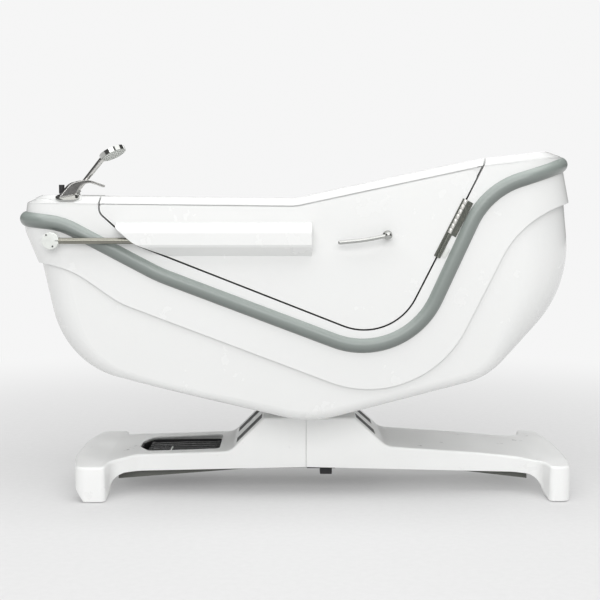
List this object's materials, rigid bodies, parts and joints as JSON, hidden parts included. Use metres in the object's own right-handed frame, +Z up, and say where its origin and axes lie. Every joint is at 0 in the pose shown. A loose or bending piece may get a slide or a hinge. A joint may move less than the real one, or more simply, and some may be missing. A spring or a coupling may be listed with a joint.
{
  "type": "high-low bath tub with side door",
  "caption": "Height-adjustable bath tub with a hinged side door, grey wrap-round bumper, locking rod, hand shower and a bone-shaped pedestal base.",
  "frame": {"origin": "on the floor, under the middle of the object's box", "axes": "+X from the foot end (taps) to the head end (backrest), -Y the door side, +Z up"},
  "size_m": [2.038, 0.8649, 1.3126],
  "materials": {
    "gelcoat_white": "polished sanitary gelcoat",
    "cover_white": "moulded, semi-gloss",
    "bumper_grey": "satin, extruded",
    "brushed_steel": "brushed stainless",
    "dark_steel": "polished stainless, dark reflections",
    "chrome": "polished",
    "black_plastic": "matt",
    "black_hose": "smooth, slightly shiny",
    "rubber_black": "matt",
    "nylon_white": "translucent natural nylon",
    "brass": "cast",
    "frame_steel": "powder coat",
    "column_aluminium": "anodised"
  },
  "bodies": {
    "base": {"base_cover_foot": "cover_white", "base_cover_head": "cover_white", "pedestal_strips": "black_plastic", "hose_tray": "black_plastic", "supply_hoses": "black_hose", "hose_fittings": "black_plastic", "cable_tie": "nylon_white", "base_frame": "frame_steel", "foot_pads": "rubber_black", "column_outer": "column_aluminium", "lift_motor": "black_plastic", "control_box": "black_plastic"},
    "column_stage_1": {"column_middle_1": "column_aluminium"},
    "column_stage_2": {"column_middle_2": "column_aluminium"},
    "tub": {"column_head": "column_aluminium", "lower_casing": "gelcoat_white", "upper_casing": "gelcoat_white", "bumper_rail": "bumper_grey", "basin": "gelcoat_white", "door_jamb": "rubber_black", "door_gasket": "rubber_black", "deck_cover": "gelcoat_white", "casing_screws": "brushed_steel", "tub_frame": "frame_steel", "drain_body": "chrome", "overflow_body": "chrome", "waste_pipe": "black_plastic", "rod_buffer": "rubber_black", "hinge_tub_leaf": "dark_steel", "hinge_pin": "brushed_steel", "hinge_screws": "brushed_steel", "hinge_end_clip": "nylon_white", "mixer_plate": "chrome", "mixer_spout": "chrome", "valve_body": "brass", "shower_holder": "chrome"},
    "door": {"door_outer_panel": "gelcoat_white", "door_core": "gelcoat_white", "door_inner_panel": "gelcoat_white", "door_rim": "gelcoat_white", "rod_bushes": "nylon_white", "lever_rosette": "chrome", "hinge_door_leaf": "dark_steel"},
    "lock_bar": {"locking_rod": "brushed_steel", "catch_disc": "nylon_white", "catch_screws": "black_plastic", "lock_rack": "brushed_steel"},
    "lever": {"lever_handle": "chrome", "lock_pinion": "brushed_steel"},
    "plug": {"drain_plug": "chrome"},
    "plug_knob": {"overflow_knob": "chrome"},
    "temperature_knob": {"mixer_knob": "black_plastic"},
    "diverter": {"diverter_button": "chrome"},
    "hand_shower": {"shower_handle": "chrome", "shower_head": "chrome", "shower_face": "nylon_white"}
  },
  "joints": [
    {"name": "lift", "type": "slide", "parent": "base", "child": "tub", "axis": [0, 0, 1], "range_m": [0, 0.35]},
    {"name": "column_1_slide", "type": "slide", "parent": "base", "child": "column_stage_1", "axis": [0, 0, 1], "range_m": [0, 0.1167]},
    {"name": "column_2_slide", "type": "slide", "parent": "base", "child": "column_stage_2", "axis": [0, 0, 1], "range_m": [0, 0.2334]},
    {"name": "door_hinge", "type": "hinge", "parent": "tub", "child": "door", "pos_m": [0.5353, -0.3807, 1.0125], "axis": [0.4485, 0, 0.8938], "range_deg": [0, 92]},
    {"name": "lever_turn", "type": "hinge", "parent": "door", "child": "lever", "pos_m": [0.307, -0.3805, 0.989], "axis": [0, -1, 0], "range_deg": [0, 60]},
    {"name": "lock_bar_slide", "type": "slide", "parent": "door", "child": "lock_bar", "axis": [1, 0, 0], "range_m": [0, 0.0425]},
    {"name": "plug_knob_turn", "type": "hinge", "parent": "tub", "child": "plug_knob", "pos_m": [-0.768, 0.0195, 1.01], "axis": [1, 0, 0], "range_deg": [0, 90]},
    {"name": "plug_lift", "type": "slide", "parent": "tub", "child": "plug", "axis": [0, 0, 1], "range_m": [0, 0.0122]},
    {"name": "temperature_turn", "type": "hinge", "parent": "tub", "child": "temperature_knob", "pos_m": [-0.864, -0.2985, 1.15], "axis": [0, 0, 1], "range_deg": [-90, 90]},
    {"name": "diverter_push", "type": "slide", "parent": "tub", "child": "diverter", "axis": [0, 0.4191, -0.9079], "range_m": [0, 0.003], "stiffness_N_per_m": 300},
    {"name": "hand_shower_lift", "type": "slide", "parent": "tub", "child": "hand_shower", "axis": [0.632, 0, 0.7749], "range_m": [0, 0.15]}
  ],
  "couplings": [
    {"joint": "column_1_slide", "follows": "lift", "ratio": 0.33333},
    {"joint": "column_2_slide", "follows": "lift", "ratio": 0.66667},
    {"joint": "lock_bar_slide", "follows": "lever_turn", "m_per_rad": 0.040107},
    {"joint": "plug_lift", "follows": "plug_knob_turn", "m_per_rad": 0.007639}
  ]
}
